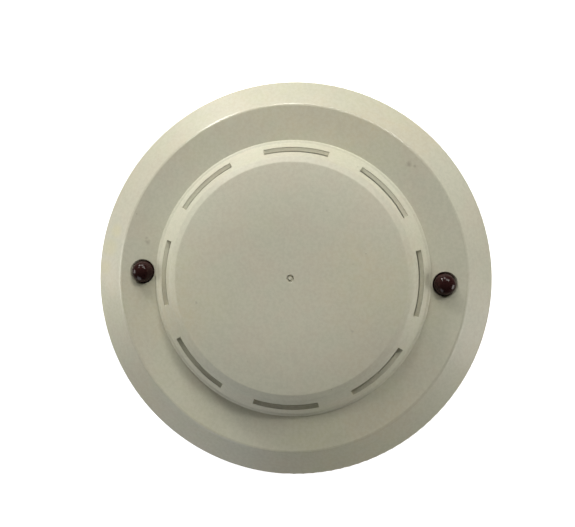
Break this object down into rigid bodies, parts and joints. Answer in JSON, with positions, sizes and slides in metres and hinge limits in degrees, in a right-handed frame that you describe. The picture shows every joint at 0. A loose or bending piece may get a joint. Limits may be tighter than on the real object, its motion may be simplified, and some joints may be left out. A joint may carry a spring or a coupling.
{
  "type": "heat detector",
  "caption": "Plug-in electronic heat detector: a round slotted head with status lamps that twists into a ceiling base.",
  "frame": {"origin": "centre of the mounting base's back face, on the ceiling plane", "axes": "+Z out of the ceiling plane through the middle of the sensing face, along the twist axis; X through the two status lamps; Y completes the right-handed frame"},
  "size_m": [0.104, 0.104, 0.0439],
  "materials": {
    "cover_plastic": "fine satin moulded grain, warm ivory",
    "base_plastic": "fine satin moulded grain, warm ivory",
    "chassis_plastic": "satin moulded plastic",
    "tray_plastic": "fine matt moulded grain, warm ivory",
    "lamp_lens": "clear deep red epoxy, glossy",
    "lamp_spacer": "matte black moulding",
    "tinned_wire": "dull tin plating",
    "epoxy_bead": "dipped epoxy, glossy",
    "sleeve": "soft white insulating sleeve",
    "contact_metal": "tin-plated spring bronze, brushed",
    "screw_steel": "bright zinc plating",
    "label_film": "satin film, blank",
    "board_laminate": "green solder mask over glass laminate",
    "switch_plastic": "matte black moulding",
    "dial_plastic": "satin white moulding",
    "chip_epoxy": "fine matte moulding compound",
    "shield_metal": "tinned sheet, drawn",
    "resistor_body": "dipped lacquer with colour rings",
    "diode_body": "moulded epoxy with one pale ring",
    "capacitor_sleeve": "shrunk sleeve round an aluminium can",
    "film_box": "boxed film part, satin",
    "varistor_coat": "dipped epoxy coat",
    "reed_glass": "clear green-tinted glass"
  },
  "bodies": {
    "base": {"mounting_base": "base_plastic", "contact_strips": "contact_metal", "terminal_clamps": "screw_steel", "terminal_screws": "screw_steel"},
    "head": {"front_cover": "cover_plastic", "status_lamp_right": "lamp_lens", "status_lamp_left": "lamp_lens", "lamp_leads": "tinned_wire", "lamp_spacers": "lamp_spacer", "chamber_tray": "tray_plastic", "thermistor_bead": "epoxy_bead", "thermistor_leads": "tinned_wire", "thermistor_sleeve": "sleeve", "rear_chassis": "chassis_plastic", "contact_blades": "contact_metal", "housing_screws": "screw_steel", "rear_label": "label_film", "circuit_board": "board_laminate", "address_switch_bodies": "switch_plastic", "control_ic": "chip_epoxy", "control_ic_pins": "tinned_wire", "shield_can": "shield_metal", "resistors": "resistor_body", "resistor_leads": "tinned_wire", "diodes": "diode_body", "diode_leads": "tinned_wire", "electrolytic_capacitors": "capacitor_sleeve", "film_capacitors": "film_box", "transistors": "chip_epoxy", "transistor_leads": "tinned_wire", "surge_varistor": "varistor_coat", "varistor_leads": "tinned_wire", "reed_switch_glass": "reed_glass", "reed_switch_blades": "tinned_wire", "reference_thermistor": "epoxy_bead", "reference_thermistor_leads": "tinned_wire"},
    "tens_dial": {"tens_dial": "dial_plastic"},
    "ones_dial": {"ones_dial": "dial_plastic"}
  },
  "joints": [
    {"name": "head_twist", "type": "hinge", "parent": "base", "child": "head", "pos_m": [0, 0, 0], "axis": [0, 0, 1], "range_deg": [0, 18]},
    {"name": "tens_dial_turn", "type": "hinge", "parent": "head", "child": "tens_dial", "pos_m": [-0.0075, 0.013, 0.0137], "axis": [0, 0, 1], "continuous": true},
    {"name": "ones_dial_turn", "type": "hinge", "parent": "head", "child": "ones_dial", "pos_m": [0.0075, 0.013, 0.0137], "axis": [0, 0, 1], "continuous": true}
  ]
}
